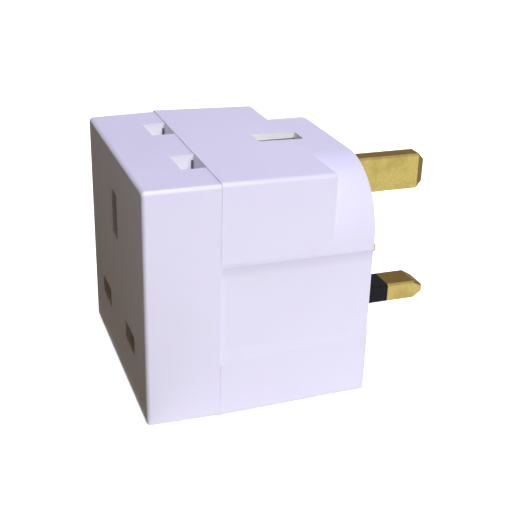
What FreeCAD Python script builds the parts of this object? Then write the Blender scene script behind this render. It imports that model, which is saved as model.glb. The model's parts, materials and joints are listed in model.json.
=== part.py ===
"""Two-way mains socket adaptor: a moulded case with one socket in front, one on top and three pins behind.

The case is a drafted front cover and a deeper rear housing, screwed together from the pin side.
Inside, three brass bus strips join each pin to one spring clip in each socket, and each socket has
a sprung shutter that the earth pin of a plug slides out of the way.

Millimetres. X is across, Y runs from the front socket's face to the pins, Z is up from the underside.
The frame's origin is the middle of the underside of everything, pins included.
A socket's own frame has Y as the depth below its face and Z as the way from its line pins to its earth.
"""
import FreeCAD, Part
import os
import re

import Sketcher

SIZES = [
    # The case, outside
    ("side_margin", 14.0, "live and neutral pins to the case's side, at the seam"),
    ("top_margin", 13.4, "front socket's earth pin to the case's top, at the seam"),
    ("back_margin", 11.42, "top socket's earth pin to the pin face"),
    ("seam_depth", 14.4, "front face to the seam"),
    ("front_draft", 0.5, "how far each side draws in from the seam to the front face"),
    ("front_drop", 0.2, "how far the top falls from the seam to the front face"),
    ("rear_draft", 0.4, "how far each side draws in from the seam to the pin face"),
    ("rear_drop", 0.15, "how far the top falls from the seam to the pin face"),
    ("side_lip", 0.15, "how far the rear housing stands proud of the cover at each side"),
    ("top_lip", 0.25, "how far the rear housing stands proud of the cover on top"),
    ("boss_length", 8.5, "boss behind the block"),
    ("edge_radius", 0.9, "long edges of the case"),
    ("rim_radius", 0.8, "edge round the front face"),
    ("boss_round", 0.35, "edge round the pin face"),
    ("shoulder_radius", 14.0, "the boss's two upper corners"),
    ("boss_inset", 0.03, "boss inside the block's outline"),
    ("block_round", 0.6, "edge round the back of the block"),
    ("grip_depth", 0.55, "grip recess below the boss's side"),
    ("grip_top", 32.6, "upper edge of the grip recess, at the seam"),
    ("grip_lead", 1.2, "height of the slope under that edge"),
    ("grip_bottom", 14.3, "where the recess's floor turns into its slope"),
    ("grip_slope", 2.7, "height of the slope back out to the side"),
    # The case, inside
    ("side_wall", 2.4, "side walls"),
    ("front_wall", 2.2, "front wall"),
    ("floor_wall", 2.2, "underside's wall"),
    ("top_wall", 2.15, "top wall"),
    ("back_wall", 2.2, "wall at the back of the block"),
    ("pin_wall", 3.0, "wall that the pins stand in"),
    ("inner_radius", 0.8, "corners of the hollow"),
    ("tongue_wall", 0.8, "tongue of the cover inside the housing"),
    ("tongue_length", 1.2, "tongue beyond the seam"),
    ("fit_gap", 0.1, "clearance between parts that are put together"),
    ("barrier_wall", 1.2, "thickness of each insulating barrier"),
    ("barrier_front", 17.0, "front face to the barriers"),
    # Pins and apertures, as the three-pin standard gives them
    ("line_spacing", 22.22, "between the live and neutral pins"),
    ("earth_rise", 22.23, "from the live and neutral pins up to the earth pin"),
    ("pin_thin", 3.97, "short side of every pin"),
    ("line_wide", 6.35, "long side of the live and neutral pins"),
    ("earth_tall", 7.95, "long side of the earth pin"),
    ("line_length", 17.7, "live and neutral pins beyond the face"),
    ("earth_length", 22.3, "earth pin beyond the face"),
    ("pin_round", 0.5, "long edges of the pins"),
    ("line_tip", 2.0, "tapered end of the live and neutral pins"),
    ("line_tip_thin", 1.1, "how far that end draws in above and below"),
    ("earth_tip", 1.3, "tapered end of the earth pin"),
    ("earth_tip_tall", 1.3, "how far that end draws in above and below"),
    ("tip_side", 0.4, "how far the ends draw in at the sides"),
    ("sleeve_length", 9.4, "black sleeve beyond the pin face"),
    ("sleeve_wall", 0.6, "thickness of the sleeve"),
    ("plug_line_height", 16.0, "underside to the live and neutral pins"),
    ("front_line_height", 12.45, "underside to the front socket's line slots"),
    ("top_line_depth", 11.9, "front face to the top socket's line slots"),
    ("slot_wide", 8.2, "line slot, long side"),
    ("slot_thin", 4.4, "line slot, short side"),
    ("earth_slot_tall", 9.7, "earth slot, long side"),
    ("earth_slot_thin", 4.8, "earth slot, short side"),
    ("slot_round", 0.4, "corners of the slots"),
    ("collar_depth", 3.6, "face to the end of the collar round each slot"),
    ("collar_wall", 1.0, "thickness of each collar"),
    ("pin_clearance", 0.05, "pin to the edge of its hole"),
    # Brass
    ("flange_margin", 1.0, "pin's flange beyond its sides"),
    ("flange_thick", 1.8, "pin's flange, seated against the pin wall"),
    ("tail_radius", 1.4, "rivet tail of each pin"),
    ("head_radius", 2.1, "closed head of each tail"),
    ("head_thick", 0.6, "closed head of each tail, thickness"),
    ("strip", 0.8, "thickness of the bus strips"),
    ("bend", 0.6, "inner radius of the strips' bends"),
    ("earth_strip_width", 7.0, "earth strip"),
    ("strip_margin", 1.0, "live and neutral pins to their strips"),
    ("side_strip_height", 7.8, "live and neutral strips, along the case"),
    ("clip", 0.7, "thickness of the spring clips"),
    ("clip_gap", 3.2, "spring clips at their narrowest, with no pin in"),
    ("clip_root", 4.0, "spring clips at their web, inside"),
    ("clip_mouth", 5.2, "spring clips at the mouth, inside"),
    ("clip_flare", 2.2, "length of the flared mouth"),
    ("clip_length_wide", 5.8, "spring clips across the pin's long side"),
    ("tip_room", 0.7, "pin's tip to the web of its clip"),
    ("line_clip_face", 7.8, "socket face to the mouths of the line clips"),
    ("earth_clip_face", 10.0, "socket face to the mouth of the earth clip"),
    ("rivet_radius", 0.95, "clip rivets"),
    ("rivet_head", 1.5, "clip rivets, head radius"),
    ("rivet_thick", 0.45, "clip rivets, head thickness"),
    # Shutters
    ("shutter_face", 3.8, "socket face to the shutter"),
    ("shutter_thick", 1.7, "shutter plate"),
    ("flap_lap", 0.4, "shutter's flap beyond the line slots"),
    ("flap_height", 5.6, "shutter's flap"),
    ("arm_width", 6.4, "shutter's arm and ramp"),
    ("travel", 5.4, "shutter's travel, and the height of its ramp"),
    ("slide_gap", 0.2, "running clearance of the shutter"),
    ("window_width", 3.8, "spring's window in the arm"),
    ("window_start", 4.7, "line slots to the window"),
    ("window_rim", 1.25, "spring's window to the ramp"),
    ("guide_thick", 1.4, "guide plate"),
    ("rail_width", 1.0, "guide's rails beside the flap"),
    ("rail_lap", 1.8, "guide's rails above the flap"),
    ("guide_neck", 20.4, "guide plate beside the arm"),
    ("guide_rim", 0.2, "guide plate beyond the earth pin"),
    ("lug_height", 1.4, "spring's seat on the guide"),
    ("lug_width", 3.2, "spring's seat on the guide"),
    ("peg_offset", 7.5, "centre to the guide's pegs"),
    ("peg_inset", 2.8, "guide's step and end to the middle of its pegs"),
    ("peg_radius", 1.0, "guide's pegs"),
    ("post_radius", 1.7, "posts under the guide's pegs"),
    ("stake_thick", 0.6, "closed end of each peg"),
    ("spring_radius", 1.3, "middle of the spring's wire"),
    ("spring_wire", 0.4, "spring's wire"),
    ("spring_turns", 6.0, "turns of each spring"),
    # Case screws
    ("screw_margin", 3.2, "side wall to each screw"),
    ("screw_height", 34.0, "underside to the screws"),
    ("screw_post", 2.9, "radius of the cover's screw posts"),
    ("screw_tube", 3.8, "radius of the housing's screw tubes"),
    ("screw_bore", 2.9, "bore for the screw's head"),
    ("screw_hole", 1.6, "clearance hole for the screw"),
    ("screw_pilot", 1.25, "pilot hole in the post"),
    ("screw_core", 1.22, "screw's shank"),
    ("screw_head", 2.6, "screw's head"),
    ("screw_head_thick", 2.0, "screw's head, thickness"),
    ("screw_seat", 3.6, "land under the screw's head"),
    ("screw_reach", 10.0, "screw inside the post"),
]

# Places that follow from the sizes, as formulas over the sheet's names
LINE_X = "line_spacing / 2"
CASE_HALF = f"({LINE_X} + side_margin)"
CASE_TOP = "(front_line_height + earth_rise + top_margin)"
BODY_DEPTH = "(top_line_depth + earth_rise + back_margin)"
BLOCK_DEPTH = f"({BODY_DEPTH} - boss_length)"
REAR_HALF = f"({CASE_HALF} - rear_draft)"
REAR_TOP = f"({CASE_TOP} - rear_drop)"
SEAM_HALF = f"({CASE_HALF} + side_lip)"
SEAM_TOP = f"({CASE_TOP} + top_lip)"
INNER_HALF = f"({REAR_HALF} - side_wall)"
CEILING = f"({REAR_TOP} - top_wall)"
GRIP_FLOOR = f"({REAR_HALF} - grip_depth)"
GRIP_RUN = f"({SEAM_HALF} - {GRIP_FLOOR})"
BARRIER_X = f"(({LINE_X} - line_wide / 2 - flange_margin + earth_strip_width / 2) / 2)"
SCREW_X = f"({INNER_HALF} - screw_margin)"
PLUG_EARTH = "(plug_line_height + earth_rise)"
FRONT_EARTH = "(front_line_height + earth_rise)"
TOP_EARTH = "(top_line_depth + earth_rise)"
PIN_INNER = f"({BODY_DEPTH} - pin_wall)"
FLANGE_FACE = f"({PIN_INNER} - flange_thick)"
BUS_FACE = f"({FLANGE_FACE} - strip)"
STRIP_X = f"({LINE_X} + line_wide / 2 + strip_margin)"
LINE_WEB = "(line_length + tip_room)"
EARTH_WEB = "(earth_length + tip_room)"
FLAP_HALF = f"({LINE_X} + slot_wide / 2 + flap_lap)"
RAIL_X = f"({FLAP_HALF} + slide_gap)"
GUIDE_HALF = f"({RAIL_X} + rail_width)"
GUIDE_FACE = "(shutter_face + shutter_thick + slide_gap)"
GUIDE_BACK = f"({GUIDE_FACE} + guide_thick)"
GUIDE_STEP = "(flap_height / 2 + rail_lap)"
GUIDE_END = "(earth_rise + earth_tall / 2 + guide_rim)"
PEG_NEAR = f"({GUIDE_STEP} + peg_inset)"
PEG_FAR = f"({GUIDE_END} - peg_inset)"
RAMP_START = "(earth_rise - earth_tall / 2)"
WINDOW_END = f"({RAMP_START} - shutter_thick - window_rim)"
SPRING_SEAT = "(window_start + slide_gap + lug_height)"
POST_END = "(seam_depth + tongue_length)"
HEAD_SEAT = f"({POST_END} + fit_gap + screw_seat)"
MIDDLE = f"-({BODY_DEPTH} + earth_length) / 2"

os.makedirs("parts", exist_ok=True)
doc = FreeCAD.newDocument("SocketAdaptor")
sheet = doc.addObject("Spreadsheet::Sheet", "Sizes")
for row, (name, size, note) in enumerate(SIZES, start=1):
    sheet.set(f"A{row}", note)
    sheet.set(f"B{row}", str(size))
    sheet.setAlias(f"B{row}", name)
doc.recompute()


def cell(formula):
    """The formula with each size's name pointing at its cell in the sheet."""
    return re.sub(r"[a-z_]+", lambda word: "Sizes." + word.group(0), formula)


def value(formula):
    """What a formula comes to now."""
    return float(sheet.evalExpression(cell(formula)))


def bind(item, path, formula):
    item.setExpression(path, cell(formula))


def new_body(label):
    body = doc.addObject("PartDesign::Body", label)
    body.Label = label
    return body


def place(item, depth="0", height="0", turned=False):
    """Put a sub-part that far behind the front face and above the underside."""
    if turned:
        item.Placement.Rotation = FreeCAD.Rotation(FreeCAD.Vector(1, 0, 0), -90)
    bind(item, "Placement.Base.y", f"{MIDDLE} + {depth}")
    bind(item, "Placement.Base.z", height)


def place_in_socket(item, top, depth="0", rise="0"):
    """Put a sub-part in the front or the top socket's frame."""
    if top:
        place(item, f"top_line_depth + {rise}", f"{REAR_TOP} - ({depth})", turned=True)
    else:
        place(item, depth, f"front_line_height + {rise}")


def new_sketch(body, plane, offset="0"):
    """A sketch on one of the body's own planes, moved along that plane's axis to offset."""
    roles = {item.Role: item for item in body.Origin.OriginFeatures}
    sketch = body.newObject("Sketcher::SketchObject", f"{body.Label}_sketch")
    sketch.AttachmentSupport = (roles[plane + "_Plane"], [""])
    sketch.MapMode = "FlatFace"
    # The XZ plane faces -Y, so its offset is turned round
    flip = "-" if plane == "XZ" else ""
    bind(sketch, "AttachmentOffset.Base.z", f"{flip}({offset})")
    return sketch


def pin_down(sketch, edge, end, x, y):
    """Hold one point of a sketch at two formulas, measured from the sketch's origin."""
    for kind, formula in (("DistanceX", x), ("DistanceY", y)):
        rule = Sketcher.Constraint(kind, -1, 1, edge, end, value(formula))
        bind(sketch, f"Constraints[{sketch.addConstraint(rule)}]", formula)


def draw_polygon(sketch, points):
    """A closed outline whose corners are pairs of formulas."""
    corners = [FreeCAD.Vector(value(x), value(y), 0) for x, y in points]
    first = sketch.GeometryCount
    count = len(points)
    for index, corner in enumerate(corners):
        sketch.addGeometry(Part.LineSegment(corner, corners[(index + 1) % count]))
    for index, (x, y) in enumerate(points):
        before = first + (index - 1) % count
        sketch.addConstraint(Sketcher.Constraint("Coincident", before, 2, first + index, 1))
        pin_down(sketch, first + index, 1, x, y)


def draw_rounded(sketch, left, low, right, high, radii):
    """A rectangle with rounded corners: radii run from low left, the way the corners go round."""
    sides = ((left, low, 1, 1), (right, low, -1, 1), (right, high, -1, -1), (left, high, 1, -1))
    first = sketch.GeometryCount
    starts, ends, arcs = [], [], []
    for turn, ((x, y, to_x, to_y), radius) in enumerate(zip(sides, radii)):
        size = value(radius)
        corner = FreeCAD.Vector(value(x), value(y), 0)
        centre = corner + FreeCAD.Vector(to_x * size, to_y * size, 0)
        along_x = FreeCAD.Vector(centre.x, corner.y, 0)
        along_y = FreeCAD.Vector(corner.x, centre.y, 0)
        flat = turn % 2
        starts.append(along_x if flat else along_y)
        ends.append(along_y if flat else along_x)
        middle = centre - FreeCAD.Vector(to_x, to_y, 0).normalize() * size
        arcs.append(Part.Arc(starts[-1], middle, ends[-1]))
    for index in range(4):
        sketch.addGeometry(arcs[index])
        sketch.addGeometry(Part.LineSegment(ends[index], starts[(index + 1) % 4]))
    for index, (x, y, _, _) in enumerate(sides):
        arc, line = first + 2 * index, first + 2 * index + 1
        after = first + (2 * index + 2) % 8
        sketch.addConstraint(Sketcher.Constraint("Tangent", arc, 2, line, 1))
        sketch.addConstraint(Sketcher.Constraint("Tangent", line, 2, after, 1))
        rule = Sketcher.Constraint("Radius", arc, value(radii[index]))
        bind(sketch, f"Constraints[{sketch.addConstraint(rule)}]", radii[index])
        level = "Vertical" if index % 2 else "Horizontal"
        sketch.addConstraint(Sketcher.Constraint(level, line))
        kind, formula = (("DistanceX", x), ("DistanceY", y))[1 - index % 2]
        rule = Sketcher.Constraint(kind, -1, 1, line, 1, value(formula))
        bind(sketch, f"Constraints[{sketch.addConstraint(rule)}]", formula)


def draw_box(sketch, left, low, right, high):
    draw_polygon(sketch, [(left, low), (right, low), (right, high), (left, high)])


def draw_centred(sketch, x, y, wide, tall, radius=None):
    """A rectangle about a point, with rounded corners if a radius is given."""
    edges = (f"{x} - ({wide}) / 2", f"{y} - ({tall}) / 2", f"{x} + ({wide}) / 2", f"{y} + ({tall}) / 2")
    if radius:
        draw_rounded(sketch, *edges, [radius] * 4)
    else:
        draw_box(sketch, *edges)


def draw_circle(sketch, x, y, radius):
    centre = FreeCAD.Vector(value(x), value(y), 0)
    edge = sketch.addGeometry(Part.Circle(centre, FreeCAD.Vector(0, 0, 1), value(radius)))
    rule = Sketcher.Constraint("Radius", edge, value(radius))
    bind(sketch, f"Constraints[{sketch.addConstraint(rule)}]", radius)
    pin_down(sketch, edge, 3, x, y)


def extrude(body, kind, sketch, length, forward):
    """Pad or pocket a sketch towards the positive or the negative end of its plane's axis."""
    before = body.Tip.Shape.Volume if body.Tip else 0.0
    feature = body.newObject(f"PartDesign::{kind}", f"{body.Label}_{kind.lower()}")
    feature.Profile = sketch
    bind(feature, "Length", length)
    faces_back = sketch.AttachmentSupport[0][0].Role == "XZ_Plane"
    feature.Reversed = (forward == faces_back) == (kind == "Pad")
    body.Tip = feature
    doc.recompute()
    change = feature.Shape.Volume - before
    if (change > 0) != (kind == "Pad"):
        raise RuntimeError(f"{feature.Name} changes the volume by {change:.3f}")
    return feature


def pad(body, sketch, length, forward=True):
    return extrude(body, "Pad", sketch, length, forward)


def pocket(body, sketch, length, forward=True):
    return extrude(body, "Pocket", sketch, length, forward)


def loft(body, first, last):
    feature = body.newObject("PartDesign::AdditiveLoft", f"{body.Label}_loft")
    feature.Profile = first
    feature.Sections = [last]
    feature.Ruled = True
    body.Tip = feature
    doc.recompute()
    return feature


def dress(body, kind, radius, wanted):
    """Fillet every edge of the body that the wanted function picks."""
    base = body.Tip
    names = [f"Edge{number}" for number, edge in enumerate(base.Shape.Edges, start=1) if wanted(edge)]
    feature = body.newObject(f"PartDesign::{kind}", f"{body.Label}_{kind.lower()}")
    feature.Base = (base, names)
    bind(feature, "Radius", radius)
    body.Tip = feature
    doc.recompute()
    return feature


def near(first, second):
    return abs(first - second) < 1e-4


def in_plane(edge, axis, place_at):
    """Whether an edge lies wholly in the plane at that place along an axis, 0 for X to 2 for Z."""
    box = edge.BoundBox
    low = (box.XMin, box.YMin, box.ZMin)[axis]
    high = (box.XMax, box.YMax, box.ZMax)[axis]
    return near(low, place_at) and near(high, place_at)


def runs_from(edge, y):
    """Whether an edge starts in the plane at y and runs along the case."""
    box = edge.BoundBox
    return (near(box.YMin, y) or near(box.YMax, y)) and box.YLength > max(box.XLength, box.ZLength)


def both_sides(formula):
    return (f"-({formula})", formula)


def pad_drafted_block(body, first, last, high):
    """A block whose sides and top taper; each end is its place along Y, its half width and its top."""
    start, start_half, start_top = first
    end, end_half, end_top = last
    plan = new_sketch(body, "XY")
    draw_polygon(plan, [(f"-({start_half})", start), (start_half, start),
                        (end_half, end), (f"-({end_half})", end)])
    pad(body, plan, f"{high} + edge_radius")
    above = new_sketch(body, "YZ", f"-({start_half} + {end_half})")
    draw_polygon(above, [(start, start_top), (end, end_top),
                         (end, f"{high} + 2 * edge_radius"), (start, f"{high} + 2 * edge_radius")])
    pocket(body, above, f"2 * ({start_half} + {end_half})")


def draw_slots(sketch, line_y, earth_y, margin="0", radius="slot_round"):
    """The three slots of a socket, or the same outlines with a margin round them."""
    for x in both_sides(LINE_X):
        draw_centred(sketch, x, line_y, f"slot_wide + 2 * {margin}", f"slot_thin + 2 * {margin}", radius)
    draw_centred(sketch, "0", earth_y, f"earth_slot_thin + 2 * {margin}",
                 f"earth_slot_tall + 2 * {margin}", radius)


def draw_pegs(sketch, line_y, radius):
    for x in both_sides("peg_offset"):
        for rise in (PEG_NEAR, PEG_FAR):
            draw_circle(sketch, x, f"{line_y} + {rise}", radius)


def add_guide_pegs(body, plane, face, line_y, inwards):
    """Posts, pegs and closed peg ends that hold a guide plate; inwards is +1 or -1 along the axis."""
    sign = "+" if inwards > 0 else "-"
    steps = (("front_wall / 2", f"{GUIDE_FACE} - front_wall / 2", "post_radius"),
             (GUIDE_FACE, "guide_thick", "peg_radius"),
             (GUIDE_BACK, "stake_thick", "post_radius"))
    for depth, length, radius in steps:
        sketch = new_sketch(body, plane, f"{face} {sign} ({depth})")
        draw_pegs(sketch, line_y, radius)
        pad(body, sketch, length, inwards > 0)


def make_front_cover():
    body = new_body("front_cover")
    front = ("0", f"({CASE_HALF} - front_draft)", f"({CASE_TOP} - front_drop)")
    pad_drafted_block(body, front, ("seam_depth", CASE_HALF, CASE_TOP), CASE_TOP)
    dress(body, "Fillet", "edge_radius", lambda edge: runs_from(edge, 0))
    dress(body, "Fillet", "rim_radius", lambda edge: in_plane(edge, 1, 0))

    hollow = new_sketch(body, "XZ", "seam_depth")
    draw_rounded(hollow, f"-({INNER_HALF})", "floor_wall", INNER_HALF, CEILING, ["inner_radius"] * 4)
    pocket(body, hollow, "seam_depth - front_wall", False)

    collars = new_sketch(body, "XZ", "front_wall / 2")
    draw_slots(collars, "front_line_height", FRONT_EARTH, "collar_wall", "collar_wall")
    pad(body, collars, "collar_depth - front_wall / 2")
    add_guide_pegs(body, "XZ", "0", "front_line_height", 1)

    posts = new_sketch(body, "XZ", "front_wall / 2")
    pilots = new_sketch(body, "XZ", POST_END)
    for x in both_sides(SCREW_X):
        draw_circle(posts, x, "screw_height", "screw_post")
        draw_circle(pilots, x, "screw_height", "screw_pilot")
    pad(body, posts, f"{POST_END} - front_wall / 2")
    pocket(body, pilots, "screw_reach + 1", False)

    tongue = new_sketch(body, "XZ", "seam_depth - tongue_length")
    out = f"{INNER_HALF} + tongue_wall"
    low = "floor_wall - tongue_wall"
    high = f"{CEILING} - edge_radius"
    draw_polygon(tongue, [(f"-({out})", low), (out, low), (out, high), (INNER_HALF, high),
                          (INNER_HALF, "floor_wall"), (f"-({INNER_HALF})", "floor_wall"),
                          (f"-({INNER_HALF})", high), (f"-({out})", high)])
    pad(body, tongue, "2 * tongue_length")

    # The top socket's line slots are notches in the rim, with three-sided collars below them
    start = "top_line_depth - slot_thin / 2"
    shroud = new_sketch(body, "XY", f"{CEILING} + top_wall / 2")
    notches = new_sketch(body, "XY", f"{CASE_TOP} + 1")
    for x in both_sides(LINE_X):
        wide = "slot_wide / 2 + collar_wall"
        draw_box(shroud, f"{x} - ({wide})", f"{start} - collar_wall", f"{x} + {wide}", "seam_depth")
        draw_box(notches, f"{x} - slot_wide / 2", start, f"{x} + slot_wide / 2", "seam_depth + 1")
    pad(body, shroud, "collar_depth - top_wall / 2", False)
    pocket(body, notches, "collar_depth + 2", False)

    slots = new_sketch(body, "XZ", "0")
    draw_slots(slots, "front_line_height", FRONT_EARTH)
    pocket(body, slots, "collar_depth + 1")
    place(body)
    return body


def make_rear_housing():
    body = new_body("rear_housing")
    back = (BLOCK_DEPTH, REAR_HALF, REAR_TOP)
    pad_drafted_block(body, ("seam_depth", SEAM_HALF, SEAM_TOP), back, SEAM_TOP)
    dress(body, "Fillet", "edge_radius", lambda edge: runs_from(edge, value("seam_depth")))
    dress(body, "Fillet", "block_round", lambda edge: in_plane(edge, 1, value(BLOCK_DEPTH)))
    boss = new_sketch(body, "XZ", f"{BLOCK_DEPTH} - 2 * block_round")
    corners = ["edge_radius", "edge_radius", "shoulder_radius", "shoulder_radius"]
    draw_rounded(boss, f"-({REAR_HALF} - boss_inset)", "boss_inset", f"{REAR_HALF} - boss_inset",
                 f"{REAR_TOP} - boss_inset", corners)
    pad(body, boss, "boss_length + 2 * block_round")
    dress(body, "Fillet", "boss_round", lambda edge: in_plane(edge, 1, value(BODY_DEPTH)))

    hollow = new_sketch(body, "XZ", "seam_depth")
    draw_rounded(hollow, f"-({INNER_HALF})", "floor_wall", INNER_HALF, CEILING, ["inner_radius"] * 4)
    pocket(body, hollow, f"{BLOCK_DEPTH} - back_wall - seam_depth")
    inner_shoulder = "shoulder_radius - side_wall"
    boss_hollow = new_sketch(body, "XZ", f"{BLOCK_DEPTH} - back_wall")
    draw_rounded(boss_hollow, f"-({INNER_HALF})", "floor_wall", INNER_HALF, CEILING,
                 ["inner_radius", "inner_radius", inner_shoulder, inner_shoulder])
    pocket(body, boss_hollow, "boss_length + back_wall - pin_wall")

    rebate = new_sketch(body, "XZ", "seam_depth")
    out = f"{INNER_HALF} + tongue_wall + fit_gap"
    low = "floor_wall - tongue_wall - fit_gap"
    draw_box(rebate, f"-({out})", low, out, f"{CEILING} - edge_radius + fit_gap")
    pocket(body, rebate, "tongue_length + fit_gap")

    grip = new_sketch(body, "XZ", "seam_depth")
    for sign in ("-", ""):
        far = f"{sign}({GRIP_FLOOR} + 2 * {GRIP_RUN})"
        floor = f"{sign}({GRIP_FLOOR})"
        draw_polygon(grip, [(floor, "grip_bottom"), (floor, "grip_top - grip_lead"),
                            (far, "grip_top + grip_lead"), (far, "grip_bottom - 2 * grip_slope")])
    pocket(body, grip, f"{BODY_DEPTH} - seam_depth")

    barriers = new_sketch(body, "XZ", "barrier_front")
    for x in both_sides(BARRIER_X):
        draw_box(barriers, f"{x} - barrier_wall / 2", "floor_wall / 2",
                 f"{x} + barrier_wall / 2", f"{REAR_TOP} - {GUIDE_BACK} - stake_thick - fit_gap")
    pad(body, barriers, f"{PIN_INNER} - barrier_front + pin_wall / 2")

    tubes = new_sketch(body, "XZ", f"{POST_END} + fit_gap")
    bores = new_sketch(body, "XZ", BODY_DEPTH)
    holes = new_sketch(body, "XZ", HEAD_SEAT)
    for x in both_sides(SCREW_X):
        draw_circle(tubes, x, "screw_height", "screw_tube")
        draw_circle(bores, x, "screw_height", "screw_bore")
        draw_circle(holes, x, "screw_height", "screw_hole")
    pad(body, tubes, f"{PIN_INNER} - ({POST_END}) - fit_gap + pin_wall / 2")
    pocket(body, bores, f"{BODY_DEPTH} - {HEAD_SEAT}", False)
    pocket(body, holes, "screw_seat + 1", False)

    pins = new_sketch(body, "XZ", BODY_DEPTH)
    pin_hole = "pin_thin + 2 * pin_clearance"
    for x in both_sides(LINE_X):
        draw_centred(pins, x, "plug_line_height", "line_wide + 2 * pin_clearance", pin_hole)
    draw_centred(pins, "0", PLUG_EARTH, pin_hole, "earth_tall + 2 * pin_clearance")
    pocket(body, pins, "pin_wall + 1", False)

    # The top socket's earth slot with its collar, and the bar that closes its line slots behind
    collar = new_sketch(body, "XY", f"{CEILING} + top_wall / 2")
    draw_centred(collar, "0", TOP_EARTH, "earth_slot_thin + 2 * collar_wall",
                 "earth_slot_tall + 2 * collar_wall", "collar_wall")
    pad(body, collar, "collar_depth - top_wall / 2", False)
    bar = new_sketch(body, "XY", f"{CEILING} + top_wall / 2")
    for x in both_sides(LINE_X):
        wide = "slot_wide / 2 + collar_wall"
        draw_box(bar, f"{x} - ({wide})", "seam_depth", f"{x} + {wide}", "seam_depth + collar_wall")
    pad(body, bar, "collar_depth - top_wall / 2", False)
    add_guide_pegs(body, "XY", REAR_TOP, "top_line_depth", -1)
    slot = new_sketch(body, "XY", SEAM_TOP)
    draw_centred(slot, "0", TOP_EARTH, "earth_slot_thin", "earth_slot_tall", "slot_round")
    pocket(body, slot, "collar_depth + 2", False)
    place(body)
    return body


def add_tail(body, x, y):
    """A pin's flange against the wall, its rivet tail and the closed head behind the bus strip."""
    steps = ((FLANGE_FACE, "strip", "tail_radius"), (BUS_FACE, "head_thick", "head_radius"))
    for start, length, radius in steps:
        sketch = new_sketch(body, "XZ", start)
        draw_circle(sketch, x, y, radius)
        pad(body, sketch, length, False)


def add_tip(body, x, y, wide, tall, reach, taper, draw_in):
    """The tapered end of a pin: it draws in more above and below than at the sides."""
    root = new_sketch(body, "XZ", f"{BODY_DEPTH} + {reach} - {taper}")
    draw_centred(root, x, y, wide, tall, "pin_round")
    end = new_sketch(body, "XZ", f"{BODY_DEPTH} + {reach}")
    draw_centred(end, x, y, f"{wide} - 2 * tip_side", f"{tall} - 2 * {draw_in}", "pin_round")
    loft(body, root, end)


def make_earth_pin():
    body = new_body("earth_pin")
    flange = new_sketch(body, "XZ", FLANGE_FACE)
    draw_centred(flange, "0", PLUG_EARTH, "pin_thin + 2 * flange_margin", "earth_tall + 2 * flange_margin")
    pad(body, flange, "flange_thick")
    blade = new_sketch(body, "XZ", PIN_INNER)
    draw_centred(blade, "0", PLUG_EARTH, "pin_thin", "earth_tall", "pin_round")
    pad(body, blade, "pin_wall + earth_length - earth_tip")
    add_tip(body, "0", PLUG_EARTH, "pin_thin", "earth_tall", "earth_length", "earth_tip", "earth_tip_tall")
    add_tail(body, "0", PLUG_EARTH)
    place(body)
    return body


def make_line_pin(label, x):
    body = new_body(label)
    y = "plug_line_height"
    flange = new_sketch(body, "XZ", FLANGE_FACE)
    draw_centred(flange, x, y, "line_wide + 2 * flange_margin", "pin_thin + 2 * flange_margin")
    pad(body, flange, "flange_thick")
    waist = new_sketch(body, "XZ", PIN_INNER)
    draw_centred(waist, x, y, "line_wide - 2 * sleeve_wall", "pin_thin - 2 * sleeve_wall")
    pad(body, waist, "pin_wall + sleeve_length")
    blade = new_sketch(body, "XZ", f"{BODY_DEPTH} + sleeve_length")
    draw_centred(blade, x, y, "line_wide", "pin_thin", "pin_round")
    pad(body, blade, "line_length - sleeve_length - line_tip")
    add_tip(body, x, y, "line_wide", "pin_thin", "line_length", "line_tip", "line_tip_thin")
    add_tail(body, x, y)
    place(body)
    return body


def make_sleeve(label, x):
    body = new_body(label)
    outline = new_sketch(body, "XZ", PIN_INNER)
    draw_centred(outline, x, "plug_line_height", "line_wide", "pin_thin", "pin_round")
    draw_centred(outline, x, "plug_line_height", "line_wide - 2 * sleeve_wall",
                 "pin_thin - 2 * sleeve_wall")
    pad(body, outline, "pin_wall + sleeve_length")
    place(body)
    return body


def make_earth_bus():
    """One strip bent up at both ends: behind the front clip, under the top clip, up to the pin."""
    body = new_body("earth_bus")
    front = f"({EARTH_WEB} + clip)"
    low = f"({REAR_TOP} - {EARTH_WEB} - clip - strip)"
    front_top = f"{FRONT_EARTH} + clip_length_wide / 2"
    back_top = f"{PLUG_EARTH} + head_radius + strip"
    back = f"{BUS_FACE} + strip"
    profile = new_sketch(body, "YZ", "-earth_strip_width / 2")
    draw_polygon(profile, [(front, low), (back, low), (back, back_top), (BUS_FACE, back_top),
                           (BUS_FACE, f"{low} + strip"), (f"{front} + strip", f"{low} + strip"),
                           (f"{front} + strip", front_top), (front, front_top)])
    pad(body, profile, "earth_strip_width")
    corners = ((front, low, "bend + strip"), (back, low, "bend + strip"),
               (f"{front} + strip", f"{low} + strip", "bend"), (BUS_FACE, f"{low} + strip", "bend"))
    for y, z, radius in corners:
        at_y, at_z = value(y), value(z)
        dress(body, "Fillet", radius, lambda edge: in_plane(edge, 1, at_y) and in_plane(edge, 2, at_z))
    tail = new_sketch(body, "XZ", BUS_FACE)
    draw_circle(tail, "0", PLUG_EARTH, "tail_radius")
    pocket(body, tail, "strip + bend")
    front_hole = new_sketch(body, "XZ", front)
    draw_circle(front_hole, "0", FRONT_EARTH, "rivet_radius")
    pocket(body, front_hole, "strip")
    top_hole = new_sketch(body, "XY", low)
    draw_circle(top_hole, "0", TOP_EARTH, "rivet_radius")
    pocket(body, top_hole, "strip")
    place(body)
    return body


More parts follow.
